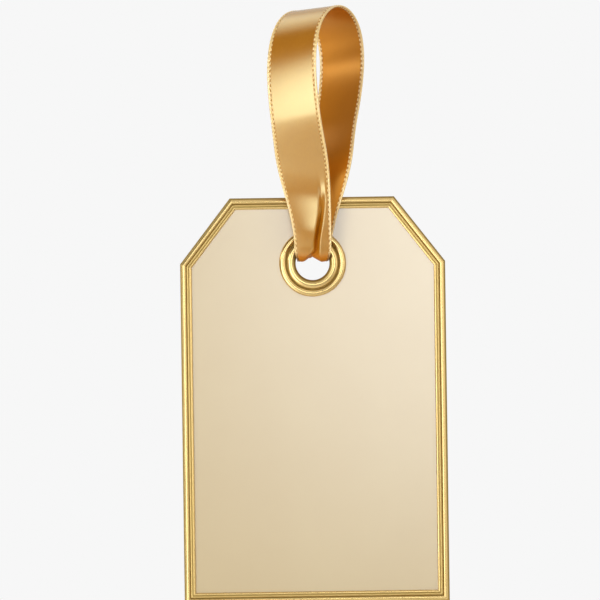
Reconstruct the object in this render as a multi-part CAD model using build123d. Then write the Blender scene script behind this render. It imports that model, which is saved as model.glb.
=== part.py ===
from build123d import *
import os
from math import asin, cos, pi, radians, sin, sqrt

# A framed gift tag hanging from a satin ribbon loop, in millimetres.
# The origin is the top of the loop's inside, where a hook bears.
# +X is to the right seen from the front, +Y to the back and +Z up.

# Card, a board between two papers
tag_width = 50.0
tag_height = 76.5
chamfer_across = 9.5
chamfer_down = 12.3
face_thickness = 0.3
core_thickness = 0.9
back_thickness = 0.3
card_clearance = 0.1

# Frame, a stamped strip with three beads in front and a lip crimped over the back
flank_width = 0.5
flank_height = 0.54
outer_bead_width = 0.65
outer_bead_height = 0.6
outer_groove_height = 0.3
middle_bead_width = 0.53
middle_bead_height = 0.46
inner_groove_height = 0.32
inner_bead_width = 0.49
inner_bead_height = 0.36
rim_height = 0.1
frame_wall = 0.35
lip_width = 1.6
lip_thickness = 0.3

# Eyelet and its washer
eyelet_drop = 12.4
hole_radius = 3.2
eyelet_wall = 0.4
eyelet_clearance = 0.05
curl_width = 1.75
curl_height = 0.95
washer_sheet = 0.25
washer_bead_width = 1.33
washer_height = 0.72
flange_radius = 6.0
flange_height = 0.55

# Ribbon
ribbon_width = 10.0
ribbon_thickness = 0.3
edge_width = 0.8
edge_thickness = 0.46
layer_gap = 0.14
ribbon_clearance = 0.12
segment_gap = 0.24
overrun = 1.0

# Ribbon loop: how high it stands over the bend, and how far its legs part
loop_rise = 44.65
loop_spread = 9.5
loop_depth = 18.6
loop_bulge = 1.3
loop_lean = 1.8
front_yaw_degrees = 20.0
rear_yaw_degrees = 35.0
front_roll_degrees = 7.5
rear_roll_degrees = 0.0
spread_power = 1.6
turn_start_share = 0.15
turn_end_share = 0.55
loop_stations = 40

# Ribbon's gathered legs and the bend into the eyelet
bend_inner_radius = 0.65
bend_over_eye = 2.8
bend_stem = 1.8
gather_left = 3.4
gather_right = 3.55
gather_end_share = 0.33
pleat_depth = 0.85
lobe_swell = 0.3
valley_start_share = 0.6
valley_end_share = -0.03
shoulder_start_share = 0.2
shoulder_end_share = 0.6
leg_stations = 14

# Joint lines of the ribbon, over the tag's top edge
fold_over_top = 0.2
twist_over_top = 4.0

# Knot and cut ends behind the card
knot_width = 7.4
knot_height = 5.0
knot_depth = 4.4
knot_round = 1.5
knot_lift = 4.0
wrap_width = 3.6
wrap_thickness = 0.5
tail_length = 9.5
tail_drop = 5.0
tail_root_height = 2.6
tail_root_thickness = 0.9
tail_cut = 3.0

half = 0.5
stack = face_thickness + core_thickness + back_thickness
face_front = stack * half
card_back = -face_front
barrel_radius = hole_radius + eyelet_wall
curl_radius = hole_radius + curl_width
washer_radius = curl_radius + eyelet_clearance + washer_bead_width
frame_width = flank_width + outer_bead_width + middle_bead_width + inner_bead_width
web_share = 1 - edge_width / (ribbon_width * half)

# Gathered ribbon at the bend: the front layer's pleat sinks towards the flat rear layer
gather_middle = (gather_right - gather_left) * half
gather_half = (gather_right + gather_left) * half
layer_step = pleat_depth + max(edge_thickness, ribbon_thickness) + layer_gap
rear_radius = bend_inner_radius + ribbon_thickness * half
front_radius = rear_radius + layer_step
bend_outer_radius = front_radius + ribbon_thickness * half

# Heights and depths in the part's own frame
bend_z = ribbon_thickness * half - loop_rise
eyelet_z = bend_z - bend_over_eye
tag_top = eyelet_z + eyelet_drop
fold_z = tag_top + fold_over_top
twist_z = tag_top + twist_over_top
tag_x = -loop_lean
bend_y = (front_radius + rear_radius) * half
eyelet_front = bend_y - rear_radius + edge_thickness * half + ribbon_clearance
card_y = eyelet_front + curl_height + face_front
knot_front = card_y + face_front + flange_height + ribbon_clearance


def stand(shape):
    """Turn a piece built lying face up, its eyelet at the origin, to hang upright."""
    return Pos(tag_x, card_y, eyelet_z) * Rot(90, 0, 0) * shape


def tag_outline():
    """Corners of the tag, anticlockwise seen from the front, from the lower left one."""
    side = tag_width * half
    top = eyelet_drop
    bottom = eyelet_drop - tag_height
    shoulder = top - chamfer_down
    corner = side - chamfer_across
    return [
        (-side, bottom),
        (side, bottom),
        (side, shoulder),
        (corner, top),
        (-corner, top),
        (-side, shoulder),
    ]


def side_frames(points):
    """Each side's start, its direction and the direction into the tag."""
    frames = []
    for start, end in zip(points, points[1:] + points[:1]):
        along = (Vector(*end) - Vector(*start)).normalized()
        frames.append((Vector(*start), along, Vector(-along.Y, along.X)))
    return frames


def inset(points, distance):
    """The outline moved inwards by the same distance on every side."""
    frames = side_frames(points)
    moved = []
    for before, here in zip(frames[-1:] + frames[:-1], frames):
        shift = (before[2] + here[2]) * (distance / (1 + before[2].dot(here[2])))
        corner = here[0] + shift
        moved.append((corner.X, corner.Y))
    return moved


def plate(points, low, high):
    """A flat plate with the given outline between two heights."""
    corners = [(x, y, low) for x, y in points]
    return extrude(make_face(Polyline(*corners, close=True)), amount=high - low, dir=(0, 0, 1))


def moulding(points):
    """The three beads of the frame, one mitred length on each side of the tag."""
    inner = inset(points, frame_width)
    frames = side_frames(points)
    groove = flank_width + outer_bead_width
    ridge = groove + middle_bead_width
    lengths = []
    for index, (start, along, inward) in enumerate(frames):
        after = (index + 1) % len(points)
        mitre = [points[index], points[after], inner[after], inner[index]]
        block = plate(mitre, face_front, face_front + outer_bead_height + overrun)
        length = (Vector(*points[after]) - start).length
        section = make_face(
            [
                Polyline((frame_width, 0), (0, 0), (0, rim_height)),
                Line((0, rim_height), (flank_width * half, (rim_height + flank_height * 2) / 3)),
                Line((flank_width * half, (rim_height + flank_height * 2) / 3), (flank_width, flank_height)),
                ThreePointArc(
                    (flank_width, flank_height),
                    (flank_width + outer_bead_width * half, outer_bead_height),
                    (groove, outer_groove_height),
                ),
                ThreePointArc(
                    (groove, outer_groove_height),
                    (groove + middle_bead_width * half, middle_bead_height),
                    (ridge, inner_groove_height),
                ),
                ThreePointArc(
                    (ridge, inner_groove_height),
                    (ridge + inner_bead_width * half, inner_bead_height),
                    (frame_width, 0),
                ),
            ]
        )
        place = Plane(origin=(start.X, start.Y, face_front), x_dir=inward, z_dir=along)
        lengths.append(extrude(place * section, amount=length) & block)
    return lengths


def make_frame():
    """Channel round the card's edge with its beads in front and its lip behind."""
    outline = tag_outline()
    channel = plate(outline, card_back - lip_thickness, face_front)
    channel -= plate(inset(outline, frame_wall), card_back, face_front)
    channel -= plate(inset(outline, lip_width), card_back - lip_thickness, card_back)
    for length in moulding(outline):
        channel += length
    return stand(channel)


def card_layer(low, thickness):
    """One layer of the card, punched for the eyelet."""
    layer = plate(inset(tag_outline(), frame_wall + card_clearance), low, low + thickness)
    punch = Cylinder(barrel_radius + eyelet_clearance, stack + overrun)
    return stand(layer - punch)


def ring(*lines):
    """A turned ring round the eyelet's axis from the lines of its section."""
    section = make_face(list(lines))
    return stand(revolve(section, axis=Axis.Z))


def make_eyelet():
    """Barrel through the card, rolled over in front and flanged behind."""
    seat = face_front + washer_sheet
    front = face_front + curl_height
    back = card_back - flange_height
    curl_peak = hole_radius + curl_width * half
    flange_peak = (hole_radius + flange_radius) * half
    flange_edge = card_back - eyelet_wall
    return ring(
        Line((hole_radius, 0, flange_edge), (hole_radius, 0, seat)),
        ThreePointArc((hole_radius, 0, seat), (curl_peak, 0, front), (curl_radius, 0, seat)),
        Polyline(
            (curl_radius, 0, seat),
            (barrel_radius, 0, seat),
            (barrel_radius, 0, card_back),
            (flange_radius, 0, card_back),
        ),
        ThreePointArc((flange_radius, 0, card_back), (flange_peak, 0, back), (hole_radius, 0, flange_edge)),
    )


def make_washer():
    """Flat washer under the rolled lip with a bead round its outside."""
    inside = barrel_radius + eyelet_clearance
    seat = face_front + washer_sheet
    bead_start = curl_radius + eyelet_clearance
    bead_peak = bead_start + washer_bead_width * half
    return ring(
        Polyline(
            (washer_radius, 0, face_front),
            (inside, 0, face_front),
            (inside, 0, seat),
            (bead_start, 0, seat),
        ),
        ThreePointArc(
            (bead_start, 0, seat),
            (bead_peak, 0, face_front + washer_height),
            (washer_radius, 0, face_front),
        ),
    )


def ease(share):
    """Smooth step from zero to one."""
    held = min(max(share, 0), 1)
    return held * held * (3 - 2 * held)


def swell(rise, power):
    """Width of a teardrop at a share of its height, over the root that closes its top.

    It is the height share to a power, scaled so that the widest place gives one.
    """
    widest = power / (power + half)
    return rise**power / (widest**power * sqrt(1 - widest))


def turned(rise):
    """How far the loop has turned away from the card and opened: none at its foot, all higher up."""
    return ease((rise - turn_start_share) / (turn_end_share - turn_start_share))


def centre(turn):
    """Middle line of the ribbon, from its front foot at zero over the top to its rear foot at one."""
    rise = sin(pi * turn) ** 2
    side = cos(pi * turn)
    apart = swell(rise, spread_power) * half
    x = tag_x + loop_lean * rise - loop_spread * apart * side
    forward = loop_bulge * (4 * rise * (1 - rise)) ** 2
    deep = loop_depth * apart * turned(rise) + layer_step * half
    return Vector(x, -forward - deep * side, bend_z + loop_rise * rise)


def across_direction(turn):
    """Direction across the ribbon, from its far edge to its near one."""
    rise = sin(pi * turn) ** 2
    yaw = radians(front_yaw_degrees + (rear_yaw_degrees - front_yaw_degrees) * turn) * turned(rise)
    roll = radians(front_roll_degrees + (rear_roll_degrees - front_roll_degrees) * turn) * turned(rise)
    return Vector(cos(yaw) * cos(roll), -sin(yaw) * cos(roll), sin(roll))


def travel(turn):
    """Direction along the ribbon."""
    step = 1 / (loop_stations * loop_stations)
    return (centre(turn + step) - centre(turn)).normalized()


def gather(rise):
    """How far the ribbon is gathered: none over the tag's top, all at the bend."""
    return 1 - ease(rise / gather_end_share)


def turn_at(height):
    """Place along the ribbon's front leg at a height."""
    return asin(sqrt((height - bend_z) / loop_rise)) / pi


def valley_share(gathered):
    """Share across at the pleat's valley, which runs from near the right edge to the middle."""
    return valley_start_share + (valley_end_share - valley_start_share) * gathered


def shoulder_share(gathered):
    """Share across from the pleat's valley to its shoulders, which part towards the bend."""
    return shoulder_start_share + (shoulder_end_share - shoulder_start_share) * gathered * gathered


def gathered_place(share, gathered, pleated):
    """Where a share across lies: sideways from the middle line, and how far back.

    The flat width closes in to the gathered one. In the pleated leg a pleat sinks in a
    straight-sided valley and the two lobes beside it swell forward.
    """
    flat = ribbon_width * half * share
    closed = gather_middle + gather_half * share
    if not pleated:
        return flat + (closed - flat) * gathered, 0
    offset = min(abs(share - valley_share(gathered)) / shoulder_share(gathered), 1)
    swollen = lobe_swell * (1 - share * share) * offset
    depth = pleat_depth * (1 - offset) - swollen
    return flat + (closed - flat) * gathered, depth * gathered


def leg_shares(gathered):
    """Shares across the satin between the woven edges, with the pleat's corners and the lobes' middles."""
    valley = valley_share(gathered)
    left = valley - shoulder_share(gathered)
    right = valley + shoulder_share(gathered)
    return [
        -web_share,
        (left - web_share) * half,
        left,
        valley,
        right,
        (right + web_share) * half,
        web_share,
    ]


def section(turn, shares, thickness):
    """Closed outline across the ribbon, through the given shares of its half width."""
    gathered = gather(sin(pi * turn) ** 2)
    across = across_direction(turn)
    outward = across.cross(travel(turn)).normalized()
    square = across.cross(outward)
    points = []
    for share in shares:
        side, depth = gathered_place(share, gathered, turn < half)
        points.append(centre(turn) + across * side - outward * depth)
    reached = [points[0] * 2 - points[1]] + points + [points[-1] * 2 - points[-2]]
    outer = []
    inner = []
    for before, here, after in zip(reached, points, reached[2:]):
        normal = square.cross(after - before).normalized() * (thickness * half)
        outer.append(here + normal)
        inner.append(here - normal)
    return Wire.make_polygon(outer + inner[::-1], close=True)


def loop_strip(shares, thickness):
    """A strip of the loop over the twist line, with straight lines between its stations."""
    start = turn_at(twist_z - overrun)
    wires = []
    for station in range(loop_stations + 1):
        turn = start + (1 - start * 2) * station / loop_stations
        wires.append(section(turn, shares, thickness))
    return between(Solid.make_loft(wires, ruled=True), twist_z + segment_gap * half, loop_rise)


def leg_strip(rear, shares, thickness):
    """A strip of one leg from the bend to over the twist line."""
    low = bend_z + bend_stem
    high = twist_z + overrun
    wires = []
    for station in range(leg_stations + 1):
        turn = turn_at(low + (high - low) * station / leg_stations)
        gathered = gather(sin(pi * turn) ** 2)
        place = 1 - turn if rear else turn
        wires.append(section(place, shares(gathered), thickness))
    return Solid.make_loft(wires, ruled=True)


def between(shape, low, high):
    """The part of a piece between two level planes."""
    reach = tag_height + loop_rise
    slab = Pos(0, 0, (low + high) * half) * Box(reach, reach, high - low)
    return shape & slab


def lower(strip):
    """The leg's length on the tag's face, below the fold line."""
    return between(strip, bend_z + bend_stem + segment_gap, fold_z - segment_gap * half)


def upper(strip):
    """The leg's length between the fold line and the twist line."""
    return between(strip, fold_z + segment_gap * half, twist_z - segment_gap * half)


def make_bend():
    """Gathered ribbon that bends back into the eyelet and runs through it to the knot."""
    front = bend_y - bend_outer_radius
    bottom = bend_z - bend_outer_radius
    stem = bend_z + bend_stem
    neck = eyelet_front - ribbon_clearance
    ceiling = eyelet_z + hole_radius - ribbon_clearance
    x = tag_x - gather_left
    slant = bend_outer_radius / sqrt(2)
    outline = make_face(
        [
            Polyline((x, bend_y, bottom), (x, knot_front, bottom), (x, knot_front, ceiling)),
            Polyline((x, knot_front, ceiling), (x, neck, ceiling), (x, neck, stem)),
            Polyline((x, neck, stem), (x, front, stem), (x, front, bend_z)),
            ThreePointArc((x, front, bend_z), (x, bend_y - slant, bend_z - slant), (x, bend_y, bottom)),
        ]
    )
    bundle = extrude(outline, amount=gather_left + gather_right, dir=(1, 0, 0))
    through = knot_front - neck
    behind = Pos(tag_x, neck + through * half, eyelet_z) * Box(tag_width, through, tag_width)
    bore = Pos(tag_x, neck + through * half, eyelet_z) * Rot(90, 0, 0)
    behind -= bore * Cylinder(hole_radius - ribbon_clearance, through)
    bundle -= behind
    valley = tag_x + gather_middle + gather_half * valley_end_share
    width = gather_half * shoulder_end_share
    lip = front - ribbon_clearance
    notch = make_face(
        Polyline(
            (valley - width, lip, bend_z),
            (valley + width, lip, bend_z),
            (valley, front + pleat_depth * half, bend_z),
            close=True,
        )
    )
    bundle -= revolve(notch, axis=Axis((0, bend_y, bend_z), (1, 0, 0)), revolution_arc=90)
    bundle -= extrude(notch, amount=bend_stem, dir=(0, 0, 1))
    return bundle


def make_knot():
    """Overhand knot behind the eyelet: a round body with one turn of ribbon drawn round it."""
    middle = knot_front + wrap_thickness + knot_depth * half
    place = Pos(tag_x, middle, eyelet_z + knot_lift)
    body = Box(knot_width, knot_depth, knot_height)
    body = fillet(body.edges(), knot_round)
    wrap = Box(wrap_width, knot_depth + wrap_thickness * 2, knot_height + wrap_thickness * 2)
    wrap = fillet(wrap.edges().filter_by(Axis.X), knot_round)
    return place * (body + wrap)


def make_tail(side):
    """One cut end of the ribbon, which fans out from the knot to its slanted end."""
    middle = knot_front + wrap_thickness + knot_depth * half
    x = knot_width * half
    z = eyelet_z + knot_lift
    high = tail_root_height * half
    deep = tail_root_thickness * half
    root = [(x, middle - deep, z - high), (x, middle - deep, z + high)]
    root += [(x, middle + deep, z + high), (x, middle + deep, z - high)]
    end_y = knot_front + wrap_thickness
    end_z = z - tail_drop
    upper_x = x + tail_length
    lower_x = upper_x - tail_cut
    wide = ribbon_width * half
    thin = ribbon_thickness * half
    end = [(lower_x, end_y - thin, end_z - wide), (upper_x, end_y - thin, end_z + wide)]
    end += [(upper_x, end_y + thin, end_z + wide), (lower_x, end_y + thin, end_z - wide)]
    wires = []
    for corners in (root, end):
        wires.append(Wire.make_polygon([(tag_x + side * px, py, pz) for px, py, pz in corners], close=True))
    return Solid.make_loft(wires, ruled=True)


def far_edge(gathered):
    """Shares across the far woven edge."""
    return [-1, -web_share]


def near_edge(gathered):
    """Shares across the near woven edge."""
    return [web_share, 1]


front_leg = leg_strip(False, leg_shares, ribbon_thickness)
rear_leg = leg_strip(True, leg_shares, ribbon_thickness)
leg_edges = []
for rear_side in (False, True):
    for edge in (far_edge, near_edge):
        leg_edges.append(leg_strip(rear_side, edge, edge_thickness))

pieces = {
    "face_sheet": card_layer(face_front - face_thickness, face_thickness),
    "core_board": card_layer(card_back + back_thickness, core_thickness),
    "back_sheet": card_layer(card_back, back_thickness),
    "frame": make_frame(),
    "eyelet": make_eyelet(),
    "eyelet_washer": make_washer(),
    "ribbon_bend": make_bend(),
    "ribbon_knot": make_knot(),
    "ribbon_tail_left": make_tail(-1),
    "ribbon_tail_right": make_tail(1),
    "front_leg_lower": lower(front_leg),
    "rear_leg_lower": lower(rear_leg),
    "lower_leg_edges": Compound(children=[lower(strip) for strip in leg_edges]),
    "front_leg_upper": upper(front_leg),
    "rear_leg_upper": upper(rear_leg),
    "upper_leg_edges": Compound(children=[upper(strip) for strip in leg_edges]),
    "ribbon_loop": loop_strip([-web_share, web_share], ribbon_thickness),
    "loop_edge_far": loop_strip(far_edge(0), edge_thickness),
    "loop_edge_near": loop_strip(near_edge(0), edge_thickness),
}

os.makedirs("parts", exist_ok=True)
for name, shape in pieces.items():
    export_step(shape, f"parts/{name}.step")
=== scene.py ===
"""A framed gift tag on a gold satin ribbon: its ribbon, finishes, light and camera."""
from math import hypot, pi, radians

import bpy
import numpy as np
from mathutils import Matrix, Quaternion, Vector


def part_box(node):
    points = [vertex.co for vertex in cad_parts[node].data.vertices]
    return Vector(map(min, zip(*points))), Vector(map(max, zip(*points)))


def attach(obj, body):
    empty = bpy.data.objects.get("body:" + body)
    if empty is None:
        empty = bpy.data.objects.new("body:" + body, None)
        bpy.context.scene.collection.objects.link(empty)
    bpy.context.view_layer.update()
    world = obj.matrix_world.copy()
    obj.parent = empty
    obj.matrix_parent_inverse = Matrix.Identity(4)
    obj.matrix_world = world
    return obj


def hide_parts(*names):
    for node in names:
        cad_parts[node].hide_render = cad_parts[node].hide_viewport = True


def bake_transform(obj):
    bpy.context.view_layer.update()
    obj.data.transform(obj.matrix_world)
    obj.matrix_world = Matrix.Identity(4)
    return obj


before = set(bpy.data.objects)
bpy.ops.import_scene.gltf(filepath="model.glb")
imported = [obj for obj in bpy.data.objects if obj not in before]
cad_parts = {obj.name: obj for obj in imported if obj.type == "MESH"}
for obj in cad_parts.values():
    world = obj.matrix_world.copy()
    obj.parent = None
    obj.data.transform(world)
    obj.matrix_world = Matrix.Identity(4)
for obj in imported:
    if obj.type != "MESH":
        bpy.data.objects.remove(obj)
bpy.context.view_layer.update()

# Shapes are in millimetres until a mesh is made. Joints, lamps and the camera are in metres
mm = 0.001

# Ribbon
ribbon_width = 10.0
satin_thickness = 0.26
satin_step, satin_columns = 0.16, 120
satin_tuck = 0.02

# Woven edge of the ribbon: its stitches and its corded rim, as shares across it, and their thicknesses
edge_width = 0.8
stitch_pitch = 0.9
stitch_share, rim_middle_share, rim_half_share = 0.46, 0.72, 0.28
thin_edge, thick_edge = 0.06, 0.16
stitch_thickness, rim_thickness = 0.32, 0.42
edge_steps, edge_columns = 10, 23

# Ribbon loop, close to the one in the solids
loop_rise, loop_spread, loop_depth = 44.95, 9.6, 18.6
loop_bulge, loop_lean = 1.3, 1.8
front_yaw, rear_yaw = radians(15.5), radians(42.5)
front_roll, rear_roll = radians(6.5), 0.0
spread_power = 1.6
turn_start, turn_end = 0.15, 0.55
bow = 0.1

# Gathered legs: their half widths, and the shares of the loop's rise where gathers and pleat end
gather_left, gather_right = 3.4, 3.55
gather_end, pleat_end = 0.41, 0.33

# Front leg: how far it stands forward, and the heights and lengths over which it goes out and back
front_slack = 0.85
slack_top, slack_length = -30.0, 11.0
slack_foot, slack_return = -39.5, 5.2

# Pleat of the front leg, with its valley and slopes as shares of the half width
pleat_depth, pleat_deepening, deepening_height = 0.8, 0.5, 3.0
lobe_swell, ridge_rise = 0.3, 0.5
valley_start, valley_leg, valley_end = 0.6, 0.22, -0.03
left_slope, left_gain, left_turn_gain = 0.18, 0.1, 0.45
right_slope, right_turn_gain = 0.18, 0.42

# Painted shade in the folds, where the satin is darker and without sheen: the pleat's foot and the turn into
# the eyelet
fold_top, fold_length, fold_shade_weight = -39.5, 4.0, 0.8
turn_fold_start, turn_fold_length = 0.3, 1.6

# Bend into the eyelet, where the ribbon closes over these lengths and rises to the knot
bend_y, bend_z = 1.525, -44.5
front_radius, rear_radius = 2.25, 0.8
front_in_eye, rear_in_eye = 2.95, 2.35
front_closing, rear_closing, valley_closing = 3.3, 1.6, 2.5
front_lift, rear_lift = 1.7, 0.9
lift_start, lift_length = 1.9, 3.0
layer_step = front_radius - rear_radius
run_end = 6.4

# Where one length of ribbon ends and the next begins
neck_top, neck_foot = -30.25, -40.5

# Tag's slanted corners, its frame's beads and grooves, and its eyelet, with the bands where shade is painted
# on them
tag_x, eyelet_z = -1.8, -47.3
corner_across, corner_down = 9.5, 12.3
frame_wall, outer_bead, middle_bead = 0.5, 0.65, 0.53
outer_groove_half, inner_groove_half, between_half = 0.24, 0.22, 0.6
wall_edge, wall_end = 0.15, 0.55
frame_front_end, frame_back_start = 1.6, 2.0
bore_edge, bore_end = 3.45, 3.95
eyelet_groove_radius, eyelet_groove_half = 4.97, 0.36

# Knot behind the tag, the turn of ribbon round it, and the two cut ends
knot_y, knot_z = 6.895, -43.3
knot_half = (3.6, 2.1, 2.4)
knot_power = 2.6
wrap_y, wrap_z, wrap_half, wrap_lean = 2.42, 2.72, 1.9, 0.55
wrap_thickness = 0.36
tail_y, tail_drop, tail_cut = 4.695, 5.0, 3.0
tail_x, tail_root_half, tail_pleat = 2.5, 1.5, 0.4
tail_reach, tail_tuck = 9.5, 1.2
tail_length = tail_reach + tail_tuck

# Fineness of the knot's and the cut ends' meshes, and the knot's UV for one radian round and one share along
knot_rings, knot_around = 65, 144
wrap_rows, wrap_columns = 161, 61
tail_rows, tail_columns, tail_edge_rows = 80, 70, 160
core_round_uv, wrap_round_uv, knot_long_uv = 2.5, 3.0, 5.0

# Floor
floor_z, floor_radius = -600.0, 2000.0


# Meshes

def add_mesh(name, points, faces, materials, uv=None, sharp=None, turned_over=None, fold=None):
    """A smooth mesh piece at the origin from points in millimetres.

    The UV map, which points are on sharp ends and the depth in folds go point by point. The faces that are
    turned over take the second material.
    """
    mesh = bpy.data.meshes.new(name)
    mesh.from_pydata((points * mm).tolist(), [], faces if isinstance(faces, list) else faces.tolist())
    mesh.polygons.foreach_set("use_smooth", np.ones(len(mesh.polygons), bool))
    if uv is not None:
        corner = np.empty(len(mesh.loops), np.int32)
        mesh.loops.foreach_get("vertex_index", corner)
        layer = mesh.uv_layers.new(name="along")
        layer.data.foreach_set("uv", uv[corner].astype(np.float32).ravel())
    if sharp is not None:
        ends = np.empty(len(mesh.edges) * 2, np.int32)
        mesh.edges.foreach_get("vertices", ends)
        marked = sharp[ends.reshape(-1, 2)].all(axis=1)
        flags = mesh.attributes.new("sharp_edge", "BOOLEAN", "EDGE")
        flags.data.foreach_set("value", marked)
    if fold is not None:
        depths = mesh.attributes.new("fold", "FLOAT", "POINT")
        depths.data.foreach_set("value", fold.astype(np.float32))
    for material in materials:
        mesh.materials.append(material)
    if turned_over is not None:
        mesh.polygons.foreach_set("material_index", turned_over.astype(np.int32))
    piece = bpy.data.objects.new(name, mesh)
    bpy.context.scene.collection.objects.link(piece)
    return piece


def unit(vectors):
    """Each vector over its own length."""
    return vectors / np.linalg.norm(vectors, axis=-1, keepdims=True)


def ring_faces(rings, around):
    """Quads between each closed ring of points and the next."""
    ring, spot = np.meshgrid(np.arange(rings - 1), np.arange(around), indexing="ij")
    onward = (spot + 1) % around
    here, there = ring * around, (ring + 1) * around
    return np.stack([here + spot, there + spot, there + onward, here + onward], -1).reshape(-1, 4)


def tube_faces(stations, around, first=0):
    """Quads of a closed tube of rings, with a quad strip over each end between its top and bottom halves."""
    spot = np.arange(around // 2 - 1)
    low = np.stack([spot, spot + 1, around - 2 - spot, around - 1 - spot], -1)
    high = low[:, ::-1] + (stations - 1) * around
    return np.concatenate([ring_faces(stations, around), low, high]) + first


def strip(middle, thickness, along, across, fold=0.0):
    """Closed strip round a middle surface: each point moved half the thickness out and in along the normal.

    The normal is the cross product of the surface's slopes across and along. Returns the points of one
    ring for each station, the UV (across, along) in millimetres, which points are on the end rings, and
    how deep in a fold each is.
    """
    over = np.gradient(middle, axis=1)
    onward = np.gradient(middle, axis=0)
    normal = unit(np.cross(over, onward))
    half = normal * (thickness / 2)[..., None]
    rings = np.concatenate([middle + half, (middle - half)[:, ::-1]], axis=1)
    wide = np.broadcast_to(across, middle.shape[:2])
    long = np.broadcast_to(along[:, None], middle.shape[:2])
    uv = np.stack([np.concatenate([wide, wide[:, ::-1]], 1), np.concatenate([long, long[:, ::-1]], 1)], -1)
    ends = np.zeros(rings.shape[:2], bool)
    ends[0] = ends[-1] = True
    fold = np.broadcast_to(fold, middle.shape[:2])
    return rings, uv, ends, np.concatenate([fold, fold[:, ::-1]], 1)


def add_strips(name, strips, *materials):
    """One piece from several closed strips. The second half of each ring is the reverse.

    Where two materials are given, the reverse has the second.
    """
    points, faces, uvs, sharp, reverse, folds = [], [], [], [], [], []
    first = 0
    for rings, uv, ends, fold in strips:
        stations, around = rings.shape[:2]
        points.append(rings.reshape(-1, 3))
        faces.append(tube_faces(stations, around, first))
        uvs.append(uv.reshape(-1, 2))
        sharp.append(ends.ravel())
        folds.append(fold.ravel())
        reverse.append(np.tile(np.arange(around) >= around // 2, stations))
        first += stations * around
    faces, reverse = np.concatenate(faces), np.concatenate(reverse)
    turned_over = reverse[faces].all(axis=1) if len(materials) > 1 else None
    return add_mesh(name, np.concatenate(points), faces, materials, np.concatenate(uvs),
                    np.concatenate(sharp), turned_over, np.concatenate(folds))


# Ribbon

def ease(share):
    """Smooth step from zero to one."""
    held = np.clip(share, 0, 1)
    return held * held * (3 - 2 * held)


def turned(rise):
    """How far the loop has turned from the card and opened, from its foot up."""
    return ease((rise - turn_start) / (turn_end - turn_start))


def loop_centre(turn):
    """Middle line of the loop from its front foot at 0 over the top at 0.5 to its rear foot at 1.

    Its height is the squared sine of half a turn. Sideways and in depth it is a teardrop: the height
    share to a power times the cosine, scaled to one at its widest.
    """
    rise = np.sin(pi * turn) ** 2
    side = np.cos(pi * turn)
    widest = spread_power / (spread_power + 0.5)
    apart = rise**spread_power / (widest**spread_power * np.sqrt(1 - widest)) / 2
    x = tag_x + loop_lean * rise - loop_spread * apart * side
    forward = loop_bulge * (4 * rise * (1 - rise)) ** 2
    deep = loop_depth * apart * turned(rise) + layer_step / 2
    return np.stack([x, -forward - deep * side, bend_z + loop_rise * rise], -1)


fine_turn = np.linspace(0, 1, 6001)
fine_step = np.linalg.norm(np.diff(loop_centre(fine_turn), axis=0), axis=1)
fine_length = np.concatenate([[0], np.cumsum(fine_step)])
loop_length = fine_length[-1]


def length_at(height):
    """Length along the ribbon from its front foot up to a height on the front leg."""
    turn = np.arcsin(np.sqrt((height - bend_z) / loop_rise)) / pi
    return np.interp(turn, fine_turn, fine_length)


def foot_centre(reach, radius, lift):
    """Middle line below a foot: a quarter bend, then back through the eyelet and up into the knot."""
    quarter = radius * pi / 2
    angle = np.clip(reach / radius, 0, pi / 2)
    back = np.maximum(reach - quarter, 0)
    y = bend_y - radius * np.cos(angle) + back
    z = bend_z - radius * np.sin(angle) + lift * ease((back - lift_start) / lift_length)
    return np.stack([np.full_like(y, tag_x), y, z], -1)


def ribbon_lines(length):
    """Middle line, direction across, gathering, pleating and bow at lengths along the ribbon.

    Lengths under zero are on the front foot and lengths past the loop's own are on the rear foot. The front
    leg stands a little forward over the eyelet: a long smooth step down from the neck times a short one back.
    """
    turn = np.interp(length, fine_length, fine_turn)
    rise = np.sin(pi * turn) ** 2
    centre = loop_centre(turn)
    front, rear = length < 0, length > loop_length
    centre[front] = foot_centre(-length[front], front_radius, front_lift)
    centre[rear] = foot_centre(length[rear] - loop_length, rear_radius, rear_lift)
    height = centre[:, 2]
    returned = ease(np.clip((slack_foot - height) / slack_return, 0, 1) ** 2)
    slack = front_slack * ease((slack_top - height) / slack_length) * (1 - returned)
    centre[:, 1] -= np.where(length < loop_length / 2, slack, 0)
    yaw = (front_yaw + (rear_yaw - front_yaw) * turn) * turned(rise)
    roll = (front_roll + (rear_roll - front_roll) * turn) * turned(rise)
    across = np.stack([np.cos(yaw) * np.cos(roll), -np.sin(yaw) * np.cos(roll), np.sin(roll)], -1)
    return centre, across, 1 - ease(rise / gather_end), 1 - ease(rise / pleat_end), 4 * rise * (1 - rise)


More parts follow.
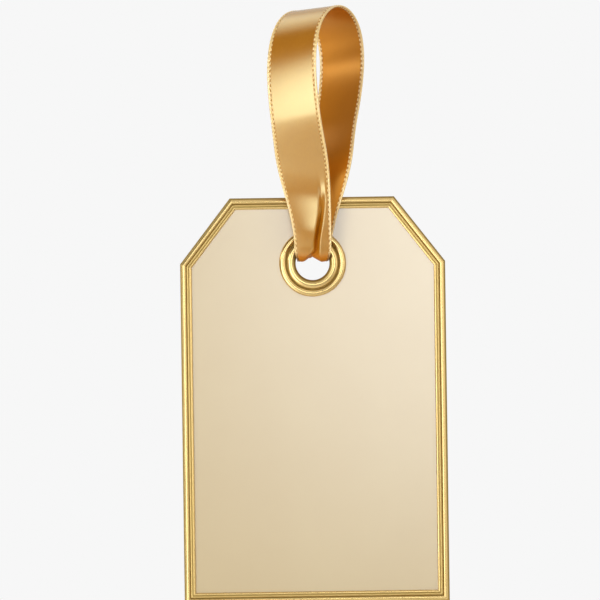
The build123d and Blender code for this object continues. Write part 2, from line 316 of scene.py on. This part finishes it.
def ribbon_surface(length, share):
    """Middle surface of the ribbon, and how deep in a fold each of its points is, which sets the shade
    painted there.

    The surface is the middle line plus a way across and a depth. The way across closes from the flat width
    to the gathered one, and closes more inside the eyelet. On the front leg a pleat sinks beside a valley
    line that runs from near the right edge to the middle: a cosine on its left, a straight slope on its
    right up to a raised ridge, while the left lobe swells forward. Half way up, the ribbon is bowed: the
    edges lie back by the square of the way across. The folds are the pleat near its foot and the turn into
    the eyelet.
    """
    centre, across, *shares = ribbon_lines(length)
    gathered, pleated, bowed = (part[:, None] for part in shares)
    outward = unit(np.cross(across, unit(np.gradient(centre, length, axis=0))))
    height = centre[:, 2:]
    below = np.maximum(-length, length - loop_length)[:, None]
    front = (length < loop_length / 2)[:, None]
    turned_in = ease(below / front_closing)
    share = np.broadcast_to(share, (len(length), np.shape(share)[-1]))

    flat = ribbon_width / 2 * share
    half = (gather_right + gather_left) / 2
    inside = np.where(front, front_in_eye, rear_in_eye)
    half = half + (inside - half) * ease(below / np.where(front, front_closing, rear_closing))
    closed = (gather_right - gather_left) / 2 + half * share
    side = flat + (closed - flat) * gathered

    valley = valley_start + (valley_leg - valley_start) * pleated**3
    valley = valley + (valley_end - valley_leg) * ease(below / valley_closing)
    on_left = share < valley
    slope = right_slope + right_turn_gain * turned_in
    fall = left_slope + left_gain * pleated**2 + left_turn_gain * turned_in
    left = np.clip((valley - share) / fall, 0, 1)
    right = np.clip((share - valley) / slope, 0, 1)
    beyond = np.clip((share - valley - slope) / (1 - valley - slope), 0, 1)
    near = np.where(on_left, 0.5 + 0.5 * np.cos(pi * left), 1 - right)
    ridge = ridge_rise * np.where(on_left, 0, right) * (1 - beyond) * (1 - turned_in)
    swell = lobe_swell * np.where(on_left, 1, turned_in) * (1 - share**2) * (1 - near)
    deep = pleat_depth + pleat_deepening * ease((height - bend_z) / deepening_height)
    depth = (deep * near - swell - ridge) * pleated * front + bow * bowed * share**2

    # Painted shade: the fold depth in the pleat's valley near its foot, and in the turn into the eyelet
    crease_shade = front * pleated * near**2 * ease((fold_top - height) / fold_length) * fold_shade_weight
    fold = np.maximum(crease_shade, ease((below - turn_fold_start) / turn_fold_length))
    return centre[:, None] + across[:, None] * side[..., None] - outward[:, None] * depth[..., None], fold


web_share = 1 - edge_width / (ribbon_width / 2)
tucked_share = web_share + satin_tuck
foot_reach = front_radius * pi / 2 + run_end - bend_y
rear_reach = rear_radius * pi / 2 + run_end - bend_y
lengths = {
    "loop": [(length_at(neck_top), loop_length - length_at(neck_top))],
    "neck": [(length_at(neck_foot), length_at(neck_top)),
             (loop_length - length_at(neck_top), loop_length - length_at(neck_foot))],
    "foot": [(-foot_reach, length_at(neck_foot)),
             (loop_length - length_at(neck_foot), loop_length + rear_reach)],
}


def satin_strip(start, end):
    """Satin between the woven edges, tucked a little way into them."""
    length = np.linspace(start, end, int((end - start) / satin_step) + 2)
    share = np.linspace(-tucked_share, tucked_share, satin_columns)
    middle, fold = ribbon_surface(length, share)
    thickness = np.full(middle.shape[:2], satin_thickness)
    return strip(middle, thickness, length, share * ribbon_width / 2, fold)


def edge_section(length, side):
    """Shares across a woven edge and its thickness: a row of stitches beside a thin corded rim.

    The stitches are a sine squared across times a raised cosine along. The rim is half a circle across.
    """
    across = np.linspace(0, 1, edge_columns)
    wave = 2 * pi * length[:, None] / stitch_pitch
    stitch = np.where(across < stitch_share, np.sin(pi * np.clip(across / stitch_share, 0, 1)) ** 2, 0)
    rim = np.sqrt(np.clip(1 - ((across - rim_middle_share) / rim_half_share) ** 2, 0, 1))
    raised = stitch * (0.5 + 0.5 * np.cos(wave)) ** 0.8 * stitch_thickness
    corded = rim * (0.84 + 0.16 * np.cos(wave)) * rim_thickness
    thickness = np.maximum(thin_edge + (thick_edge - thin_edge) * (1 - across**8) + raised, corded)
    share = side * (web_share + (1 - web_share) * across)
    if side < 0:
        share, thickness = share[::-1], thickness[:, ::-1]
    return share, thickness


def edge_strip(start, end, side):
    """One woven edge of a length of ribbon."""
    length = np.linspace(start, end, int((end - start) / (stitch_pitch / edge_steps)) + 2)
    share, thickness = edge_section(length, side)
    middle, fold = ribbon_surface(length, share)
    return strip(middle, thickness, length, share * ribbon_width / 2, fold)


# Finishes

class Socket:
    """A socket in one tree of nodes. Operators on it add the Math nodes that work out the result."""

    def __init__(self, tree, socket=None):
        self.tree, self.socket = tree, socket

    def node(self, kind, settings=None, sockets=None, output=0):
        """A node of a kind with its settings, then its sockets' values or links; gives one output."""
        made = self.tree.nodes.new("ShaderNode" + kind)
        for name, value in (settings or {}).items():
            setattr(made, name, value)
        for name, value in (sockets or {}).items():
            if isinstance(value, Socket):
                self.tree.links.new(value.socket, made.inputs[name])
            else:
                made.inputs[name].default_value = value
        return Socket(self.tree, made.outputs[output] if len(made.outputs) else None)

    def math(self, operation, first, second=0.0):
        return self.node("Math", {"operation": operation}, {0: first, 1: second})

    def __add__(self, other):
        return self.math("ADD", self, other)

    def __radd__(self, other):
        return self.math("ADD", other, self)

    def __sub__(self, other):
        return self.math("SUBTRACT", self, other)

    def __rsub__(self, other):
        return self.math("SUBTRACT", other, self)

    def __mul__(self, other):
        return self.math("MULTIPLY", self, other)

    def __rmul__(self, other):
        return self.math("MULTIPLY", other, self)

    def __pow__(self, other):
        return self.math("POWER", self, other)


def linear(red, green, blue):
    """A colour given as it looks on a screen, from 0 to 255, as light."""
    shown = np.array([red, green, blue]) / 255
    light = np.where(shown < 0.04045, shown / 12.92, ((shown + 0.055) / 1.055) ** 2.4)
    return (*light.tolist(), 1)


def new_finish(name):
    """An empty material and the start of its nodes."""
    material = bpy.data.materials.new(name)
    material.use_nodes = True
    material.node_tree.nodes.clear()
    return material, Socket(material.node_tree)


def close(nodes, shader):
    """Send a shader to the material's output."""
    nodes.node("OutputMaterial", sockets={"Surface": shader})


def blend_colours(nodes, share, first, second):
    """The first colour where share is 0 and the second where it is 1."""
    return nodes.node("Mix", {"data_type": "RGBA"}, {0: share, 6: first, 7: second}, 2)


def smooth_fall(nodes, value, start, end, top=1.0):
    """The top value up to a start, easing down to none at an end."""
    return nodes.node("MapRange", {"interpolation_type": "SMOOTHSTEP"},
                      {"Value": value, "From Min": start, "From Max": end, "To Min": top, "To Max": 0.0})


def smooth_rise(nodes, value, start, end):
    """None up to a start, easing up to one at an end."""
    return nodes.node("MapRange", {"interpolation_type": "SMOOTHSTEP"},
                      {"Value": value, "From Min": start, "From Max": end, "To Min": 0.0, "To Max": 1.0})


def champagne_paper():
    """Pearly card paper: a fine felt of fibres, a soft sheen and a little cloudiness in the colour."""
    material, nodes = new_finish("champagne_paper")
    place = nodes.node("TexCoord", output="Object")
    cloud = nodes.node("TexNoise", sockets={"Vector": place, "Scale": 55.0, "Detail": 3.0})
    grain = nodes.node("TexNoise", sockets={"Vector": place, "Scale": 5200.0, "Detail": 2.0})
    colour = blend_colours(nodes, cloud, linear(196, 171, 126), linear(202, 179, 134))
    bump = nodes.node("Bump", sockets={"Strength": 0.06, "Distance": 0.00002, "Height": grain})
    close(nodes, nodes.node("BsdfPrincipled", sockets={
        "Base Color": colour, "Roughness": 0.17 + grain * 0.08, "Normal": bump, "IOR": 2.1}))
    return material


def in_groove(nodes, distance, middle, half):
    """One along the middle of a groove, and none from half its width away."""
    return smooth_fall(nodes, nodes.math("ABSOLUTE", distance - middle), half * 0.2, half)


def frame_recess(nodes, x, y, z):
    """How far a point is down in the frame's grooves or out on its wall, where shade is painted.

    Both go by the distance inside the tag's outline, in millimetres: the least of those to the sides, the
    top, the bottom and the two slanted corners.
    """
    low, high = (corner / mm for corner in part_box("frame"))
    slant = hypot(corner_across, corner_down)
    sunk = (z - (high.z - corner_down)) * (corner_across / slant)
    inside = nodes.math("MINIMUM", high.z - z, z - low.z)
    for side in (x - low.x, high.x - x):
        inside = nodes.math("MINIMUM", inside, side)
        inside = nodes.math("MINIMUM", inside, side * (corner_down / slant) - sunk)
    outer, inner = frame_wall + outer_bead, frame_wall + outer_bead + middle_bead
    grooves = (in_groove(nodes, inside, outer, outer_groove_half)
               + in_groove(nodes, inside, inner, inner_groove_half))
    between = in_groove(nodes, inside, (outer + inner) / 2, between_half)
    front = nodes.node("MapRange", sockets={
        "Value": y, "From Min": frame_front_end, "From Max": frame_back_start, "To Min": 1.0, "To Max": 0.0})
    wall = smooth_fall(nodes, inside, wall_edge, wall_end, 0.75)
    # Painted shade in the grooves and on the band between them, on the front only, and on the outer wall
    return (grooves * 0.5 + between * 0.35) * front + wall


def eyelet_recess(nodes, x, y, z):
    """How deep a point is in the groove between the eyelet and its washer, or in the eyelet's bore, where
    shade is painted.
    """
    across, up = x - tag_x, z - eyelet_z
    radius = (across * across + up * up) ** 0.5
    bore = smooth_fall(nodes, radius, bore_edge, bore_end, 0.9)
    # Painted shade in the groove and the bore
    return in_groove(nodes, radius, eyelet_groove_radius, eyelet_groove_half) * 0.7 + bore


def gold_metal(name, recess):
    """Polished pale gold plating: duller patches, fine rubbing marks, and painted shade in its recesses,
    darker and rougher there.
    """
    material, nodes = new_finish(name)
    place = nodes.node("TexCoord", output="Object")
    x, y, z = (nodes.node("SeparateXYZ", sockets={"Vector": place}, output=axis) * 1000 for axis in "XYZ")
    patch = nodes.node("TexNoise", sockets={"Vector": place, "Scale": 220.0, "Detail": 3.0})
    fine = nodes.node("TexNoise", sockets={"Vector": place, "Scale": 1400.0, "Detail": 2.0})
    colour = blend_colours(nodes, patch, linear(216, 183, 118), linear(226, 195, 132))
    # Painted shade: an olive, darker colour and more roughness in the recesses
    recess_shade = recess(nodes, x, y, z)
    colour = blend_colours(nodes, recess_shade, colour, linear(160, 133, 64))
    bump = nodes.node("Bump", sockets={"Strength": 0.004, "Distance": 0.00002, "Height": fine})
    close(nodes, nodes.node("BsdfPrincipled", sockets={
        "Base Color": colour, "Roughness": 0.2 + patch * 0.1 + recess_shade * 0.45, "Metallic": 1.0,
        "Normal": bump}))
    return material


def satin(name, deep, light, roughness, ior, tint, metallic):
    """Satin: long floats that run with the ribbon, a little cloudiness, and a broad sheen of a pale tint.

    Down in the folds a shaded copy, deeper and without sheen, is mixed in as painted shade.
    """
    material, nodes = new_finish(name)
    along = nodes.node("TexCoord", output="UV")
    stretched = nodes.node("Mapping", sockets={"Vector": along, "Scale": (9.0, 0.8, 1.0)})
    floats = nodes.node("TexNoise", sockets={"Vector": stretched, "Scale": 1.0, "Detail": 3.0})
    slub = nodes.node("TexNoise", sockets={"Vector": along, "Scale": 1.7, "Detail": 4.0})
    cloud = nodes.node("TexNoise", sockets={"Vector": along, "Scale": 0.35, "Detail": 2.0})
    bump = nodes.node("Bump", sockets={"Strength": 0.1, "Distance": 0.00002, "Height": floats})
    lit_satin = nodes.node("BsdfPrincipled", sockets={
        "Base Color": blend_colours(nodes, cloud * 0.4 + floats * 0.3 + slub * 0.3, deep, light),
        "Roughness": roughness + slub * 0.08, "Metallic": metallic, "Normal": bump, "IOR": ior,
        "Specular Tint": tint})
    # Shaded copy of the satin, deeper and without sheen: painted shade in the folds
    shaded_satin = nodes.node("BsdfPrincipled", sockets={
        "Base Color": blend_colours(nodes, cloud, linear(188, 106, 10), linear(204, 122, 20)),
        "Roughness": 0.7, "Normal": bump, "IOR": 1.3})
    fold = nodes.node("Attribute", {"attribute_name": "fold"}, output="Fac")
    # The fold depth mixes in the painted shade
    close(nodes, nodes.node("MixShader", sockets={0: fold * 0.9, 1: lit_satin, 2: shaded_satin}))
    return material


def gold_thread():
    """Metallic thread of the woven edges, with painted shade down in the holes between its stitches and in
    the folds.
    """
    material, nodes = new_finish("gold_thread")
    along = nodes.node("TexCoord", output="UV")
    fine = nodes.node("TexNoise", sockets={"Vector": along, "Scale": 6.0, "Detail": 3.0})
    part = nodes.node("SeparateXYZ", sockets={"Vector": along}, output="X")
    onward = nodes.node("SeparateXYZ", sockets={"Vector": along}, output="Y")
    inward = (nodes.math("ABSOLUTE", part) - (ribbon_width / 2 - edge_width)) * (1 / edge_width)
    row = smooth_fall(nodes, nodes.math("ABSOLUTE", inward - stitch_share / 2), 0.12, 0.26)
    gap = smooth_fall(nodes, nodes.math("COSINE", onward * (2 * pi / stitch_pitch)), -0.35, 0.25)
    # Painted shade in the holes between the stitches: darker, without coat
    hole_shade = row * gap
    fold = nodes.node("Attribute", {"attribute_name": "fold"}, output="Fac")
    colour = blend_colours(nodes, fine, linear(236, 188, 96), linear(250, 218, 140))
    colour = blend_colours(nodes, hole_shade, colour, linear(178, 124, 44))
    # Painted shade in the folds: darker, with less coat
    colour = blend_colours(nodes, fold * 0.8, colour, linear(128, 66, 8))
    bump = nodes.node("Bump", sockets={"Strength": 0.2, "Distance": 0.00004, "Height": fine})
    close(nodes, nodes.node("BsdfPrincipled", sockets={
        "Base Color": colour, "Roughness": 0.35 + fine * 0.12, "Metallic": 0.25, "Normal": bump,
        "Coat Weight": (1 - hole_shade) * (1 - fold) * 0.9, "Coat Roughness": 0.25, "Coat IOR": 2.3}))
    return material


def grey_board():
    """Pressed board between the papers: short fibres in two pale greys."""
    material, nodes = new_finish("pressed_board")
    place = nodes.node("TexCoord", output="Object")
    fibre = nodes.node("TexNoise", sockets={"Vector": place, "Scale": 2400.0, "Detail": 4.0})
    colour = blend_colours(nodes, fibre, linear(196, 184, 160), linear(222, 212, 190))
    bump = nodes.node("Bump", sockets={"Strength": 0.3, "Distance": 0.00004, "Height": fibre})
    close(nodes, nodes.node("BsdfPrincipled", sockets={
        "Base Color": colour, "Roughness": 0.9, "Normal": bump}))
    return material


def backing_paper():
    """Plain uncoated paper on the back: warm white with a felt of fibres."""
    material, nodes = new_finish("backing_paper")
    place = nodes.node("TexCoord", output="Object")
    fibre = nodes.node("TexNoise", sockets={"Vector": place, "Scale": 1500.0, "Detail": 5.0})
    cloud = nodes.node("TexNoise", sockets={"Vector": place, "Scale": 70.0, "Detail": 2.0})
    colour = blend_colours(nodes, fibre * 0.4 + cloud * 0.6, linear(226, 213, 188), linear(238, 228, 208))
    bump = nodes.node("Bump", sockets={"Strength": 0.15, "Distance": 0.00004, "Height": fibre})
    close(nodes, nodes.node("BsdfPrincipled", sockets={
        "Base Color": colour, "Roughness": 0.75, "Normal": bump}))
    return material


face_satin = satin("gold_satin", linear(165, 95, 4), linear(187, 117, 13), roughness=0.2, ior=2.75,
                   tint=(0.98, 0.94, 0.5, 1), metallic=0.0)
back_satin = satin("satin_reverse", linear(186, 106, 6), linear(202, 120, 14), roughness=0.3, ior=2.0,
                   tint=(1, 0.85, 0.3, 1), metallic=0.3)
thread = gold_thread()
eyelet_plating = gold_metal("eyelet_plating", eyelet_recess)
node_finishes = {
    "face_sheet": champagne_paper(),
    "core_board": grey_board(),
    "back_sheet": backing_paper(),
    "frame": gold_metal("frame_plating", frame_recess),
    "eyelet": eyelet_plating,
    "eyelet_washer": eyelet_plating,
}
for node, finish in node_finishes.items():
    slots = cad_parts[node].data.materials
    slots.clear()
    slots.append(finish)


# Ribbon's loop, neck and foot

pieces = {}
for part, spans in lengths.items():
    webs = [satin_strip(*span) for span in spans]
    pieces[part] = add_strips(f"ribbon_{part}_satin", webs, face_satin, back_satin)
    edges = [edge_strip(*span, side) for span in spans for side in (-1, 1)]
    pieces[part + "_edges"] = add_strips(f"ribbon_{part}_edges", edges, thread)

# Bodies above and below each length of ribbon, and where it passes from one to the other, in metres
joints = {
    "loop": ("loop", "upper_neck", (0, 0, -0.004), (0, 0, -0.0298)),
    "neck": ("upper_neck", "lower_neck", (0, 0, -0.0329), (0, 0, -0.0368)),
    "foot": ("lower_neck", "tag", (0, 0.0, -0.0405), (0, 0.0026, -0.0465)),
}
for part, (upper, lower, start, end) in joints.items():
    for piece in (pieces[part], pieces[part + "_edges"]):
        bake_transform(piece)
        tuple(start)
        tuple(end)
    pieces[part + "_edges"]
    total = sum(last - first for first, last in lengths[part])
    hung = part == "loop"
    total * mm
    web_share * ribbon_width * total * mm * mm
    pieces[part + "_edges"]

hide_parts("ribbon_loop")
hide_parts("loop_edge_far", "loop_edge_near")
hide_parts("front_leg_upper", "rear_leg_upper")
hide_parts("upper_leg_edges")
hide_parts("front_leg_lower", "rear_leg_lower", "ribbon_bend")
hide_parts("lower_leg_edges")


# Cut ends behind the card

def tail_surface(side, length, share):
    """Cut end of the ribbon behind the card: it fans out from the knot and falls to a slanted end.

    The half width eases from the knot's to the full one, and cosine pleats fade on the way out.
    """
    out = length[:, None] / tail_length
    share = np.broadcast_to(share, (len(length), np.shape(share)[-1]))
    reach = tail_length - tail_cut * (1 - share) / 2
    half = tail_root_half + (ribbon_width / 2 - tail_root_half) * ease(out * 1.15)
    pleats = tail_pleat * (1 - ease(out / 0.8)) * np.cos(2.5 * pi * share)
    x = tag_x + side * (tail_x + reach * out)
    y = knot_y + (tail_y - knot_y) * ease(out * 1.1) + pleats - 0.18 * np.sin(pi * out * 1.6)
    z = knot_z - tail_drop * out**1.3 + half * share
    return np.stack([np.broadcast_to(x, share.shape), y, z], -1)


def tail_strips(side):
    """Satin of one cut end, then its two woven edges."""
    length = np.linspace(0, tail_length, tail_rows)
    share = np.linspace(-tucked_share, tucked_share, tail_columns) * side
    middle = tail_surface(side, length, share)
    yield [strip(middle, np.full(middle.shape[:2], satin_thickness), length, share * ribbon_width / 2)]
    fine = np.linspace(0, tail_length, tail_edge_rows)
    edges = []
    for way in (-1, 1):
        share, thickness = edge_section(fine, way)
        edges.append(strip(tail_surface(side, fine, share * side), thickness, fine, share * ribbon_width / 2))
    yield edges


for name, side in (("left", -1), ("right", 1)):
    satin_part, edge_part = tail_strips(side)
    tail = add_strips(f"ribbon_tail_{name}_satin", satin_part, face_satin)
    rims = add_strips(f"ribbon_tail_{name}_edges", edge_part, thread)
    for piece, slot in ((tail, "gold_satin"), (rims, "gold_edge")):
        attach(piece, "tag")
    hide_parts(f"ribbon_tail_{name}")


# Knot

def knot_core():
    """Points of the knot's body, with the angle round it and the way along it.

    It is a rounded block: at each point the shares of its three half sizes, to one power, add up to one.
    Folds run to its ends. They are two cosines round the long axis, deepest at the middle.
    """
    turn = np.linspace(0, 2 * pi, knot_around + 1)[:-1]
    rise = np.linspace(0, pi, knot_rings)[:, None]
    along = -np.cos(rise) * np.ones_like(turn)
    ways = np.stack([along, np.sin(rise) * np.cos(turn), np.sin(rise) * np.sin(turn)], -1)
    size = (np.abs(ways) ** knot_power).sum(-1) ** (-1 / knot_power)
    fold = 0.055 * np.cos(9 * turn + 3 * along) + 0.035 * np.cos(14 * turn - 2 * along + 1)
    size = size * (1 + fold * np.sin(rise))
    return np.array([tag_x, knot_y, knot_z]) + np.array(knot_half) * ways * size[..., None], turn, along


def ball_faces(rings, around):
    """Quads between rings, and triangles from the first and last rings to two single points."""
    wall = ring_faces(rings, around)[:, [0, 3, 2, 1]]
    spot = np.arange(around)
    onward = (spot + 1) % around
    start, end = rings * around, rings * around + 1
    last = (rings - 1) * around
    low = np.stack([np.full(around, start), onward, spot], -1)
    high = np.stack([np.full(around, end), last + spot, last + onward], -1)
    return wall.tolist() + low.tolist() + high.tolist()


def wrap_surface():
    """Turn of ribbon drawn round the knot: a band on a rounded ring, gathered into four soft pleats."""
    turn = np.linspace(0, 2 * pi, wrap_rows)
    share = np.linspace(-1, 1, wrap_columns)
    ring = (np.abs(np.cos(turn)) ** knot_power + np.abs(np.sin(turn)) ** knot_power) ** (-1 / knot_power)
    pleat = 0.13 * np.cos(4 * pi * share + 0.5 * np.sin(turn)[:, None]) - 0.5 * share**4
    x = tag_x + wrap_half * share + wrap_lean * np.sin(turn)[:, None]
    y = knot_y + (wrap_y + pleat) * (np.cos(turn) * ring)[:, None]
    z = knot_z + (wrap_z + pleat) * (np.sin(turn) * ring)[:, None]
    return np.stack([x, y, z], -1), turn, share


core_points, core_turn, core_along = knot_core()
inner = core_points[1:-1]
ends = np.stack([core_points[0, 0], core_points[-1, 0]])
round_uv = np.broadcast_to(core_turn * core_round_uv, inner.shape[:2])
core_uv = np.stack([round_uv, core_along[1:-1] * knot_long_uv], -1).reshape(-1, 2)
end_uv = [[0, -knot_long_uv], [0, knot_long_uv]]
core = add_mesh("ribbon_knot_core", np.concatenate([inner.reshape(-1, 3), ends]),
                ball_faces(*inner.shape[:2]), [face_satin], np.concatenate([core_uv, end_uv]))
band, band_turn, band_share = wrap_surface()
band_thickness = np.full(band.shape[:2], wrap_thickness)
band_strip = strip(band, band_thickness, band_turn * wrap_round_uv, band_share * knot_long_uv)
wrap = add_strips("ribbon_knot_wrap", [band_strip], face_satin)
for piece in (core, wrap):
    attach(piece, "tag")
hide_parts("ribbon_knot")


# Studio

lamp_tint = (0.94, 1.0, 1.08)
lamp_aim = Vector((-0.0018, 0.0, -0.055))


def softbox(name, azimuth, elevation, distance, wide, high, radiance, tilt=0.0, mirrored=True):
    """A rectangular lamp that faces the tag, by its angles from the camera's side, distance and half angles.

    It is brightest in the middle and fades to its edges, as one less the square of the way across each side.
    """
    lamp = bpy.data.lights.new(name, "AREA")
    lamp.shape = "RECTANGLE"
    lamp.size, lamp.size_y = (2 * distance * np.tan(np.radians([wide, high]))).tolist()
    lamp.energy = radiance * pi * lamp.size * lamp.size_y
    lamp.color = lamp_tint
    lamp.use_nodes = True
    lamp.node_tree.nodes.clear()
    nodes = Socket(lamp.node_tree)
    spot = nodes.node("NewGeometry", output="Parametric")
    x, y = (nodes.node("SeparateXYZ", sockets={"Vector": spot}, output=axis) * 2 - 1 for axis in "XY")
    x, y = nodes.math("ABSOLUTE", x), nodes.math("ABSOLUTE", y)
    glow = nodes.node("Emission", sockets={"Strength": (1 - x**2) * (1 - y**2)})
    nodes.node("OutputLight", sockets={"Surface": glow})
    holder = bpy.data.objects.new(name, lamp)
    bpy.context.scene.collection.objects.link(holder)
    azimuth, elevation = radians(azimuth), radians(elevation)
    flat = np.cos(elevation)
    way = Vector((np.sin(azimuth) * flat, -np.cos(azimuth) * flat, np.sin(elevation)))
    holder.location = lamp_aim + way * distance
    holder.visible_camera, holder.visible_glossy = False, mirrored
    holder.rotation_mode = "QUATERNION"
    holder.rotation_quaternion = (-way).to_track_quat("-Z", "Y") @ Quaternion((0, 0, 1), radians(tilt))


softbox("left_softbox", -39, -10, 0.7, 22, 32, 4.3, tilt=-12)
softbox("upper_left_softbox", -30, 24, 0.6, 16, 11, 2.8)
softbox("far_left_softbox", -71, 15, 0.7, 10, 6, 10.0)
softbox("right_softbox", 54, 10, 0.4, 24, 34, 1.5)
softbox("low_left_softbox", -50, -38, 0.5, 20, 16, 0.6)
softbox("front_softbox", 7.5, 4.5, 0.9, 14, 14, 4.3)
softbox("top_softbox", 8, 54, 0.5, 34, 18, 1.2)
softbox("back_softbox", -132, 56, 0.6, 24, 17, 1.6)
softbox("rear_softbox", 180, -4, 0.5, 58, 36, 1.7, mirrored=False)
softbox("side_softbox", -100, 8, 0.6, 9, 36, 1.4)


def seen_in_mirrors(nodes):
    """One for rays that come from a glossy surface or through one."""
    return nodes.math("MAXIMUM", nodes.node("LightPath", output="Is Glossy Ray"),
                      nodes.node("LightPath", output="Is Transmission Ray"))


def pale_floor():
    """Plain matt floor well below the tag: a disc of rings, with radii as the squares of even steps.

    To the camera and to glossy surfaces it glows a little, which keeps it pale.
    """
    rings, around = 12, 96
    turn = np.linspace(0, 2 * pi, around + 1)[:-1]
    radius = floor_radius * np.linspace(0.1, 1, rings)[:, None] ** 2
    level = np.full((rings, around), floor_z)
    flat = np.stack([radius * np.cos(turn), radius * np.sin(turn), level], -1).reshape(-1, 3)
    faces = ring_faces(rings, around).tolist() + [list(range(around))]
    material, nodes = new_finish("pale_floor")
    place = nodes.node("TexCoord", output="Object")
    cloud = nodes.node("TexNoise", sockets={"Vector": place, "Scale": 6.0, "Detail": 2.0})
    seen = nodes.math("MAXIMUM", nodes.node("LightPath", output="Is Camera Ray"), seen_in_mirrors(nodes))
    close(nodes, nodes.node("BsdfPrincipled", sockets={
        "Base Color": blend_colours(nodes, cloud, linear(236, 234, 230), linear(240, 239, 236)),
        "Roughness": 0.85, "Emission Strength": 1.0,
        "Emission Color": blend_colours(nodes, seen, (0, 0, 0, 1), (0.32, 0.32, 0.31, 1))}))
    return add_mesh("floor", flat, faces, [material])


def studio_world():
    """Warm room, darker on the left, and a pale backdrop.

    The camera sees the backdrop all round, and glossy surfaces see it behind the tag.
    """
    world = bpy.data.worlds.new("studio")
    world.use_nodes = True
    world.node_tree.nodes.clear()
    nodes = Socket(world.node_tree)
    way = nodes.node("TexCoord", output="Generated")
    behind = smooth_rise(nodes, nodes.node("SeparateXYZ", sockets={"Vector": way}, output="Y"), 0.1, 0.7)
    right = smooth_rise(nodes, nodes.node("SeparateXYZ", sockets={"Vector": way}, output="X"), -0.5, 0.3)
    warmth = blend_colours(nodes, right, (0.12, 0.1, 0.07, 1), (0.38, 0.345, 0.29, 1))
    room = nodes.node("Background", sockets={"Color": warmth})
    backdrop = nodes.node("Background", sockets={"Color": linear(247, 247, 247)})
    mirrored = seen_in_mirrors(nodes) * behind
    seen = nodes.math("MAXIMUM", nodes.node("LightPath", output="Is Camera Ray"), mirrored)
    both = nodes.node("MixShader", sockets={0: seen, 1: room, 2: backdrop})
    nodes.node("OutputWorld", sockets={"Surface": both})
    return world


pale_floor()
bpy.context.scene.world = studio_world()

camera = bpy.data.cameras.new("camera")
camera.sensor_width = 36
camera.lens = 190.8
viewer = bpy.data.objects.new("camera", camera)
viewer.location = (-0.00427, -0.598, -0.05423)
viewer.rotation_euler = (pi / 2, radians(0.8), 0)
bpy.context.scene.collection.objects.link(viewer)
bpy.context.scene.camera = viewer
bpy.context.scene.view_settings.view_transform = "Standard"
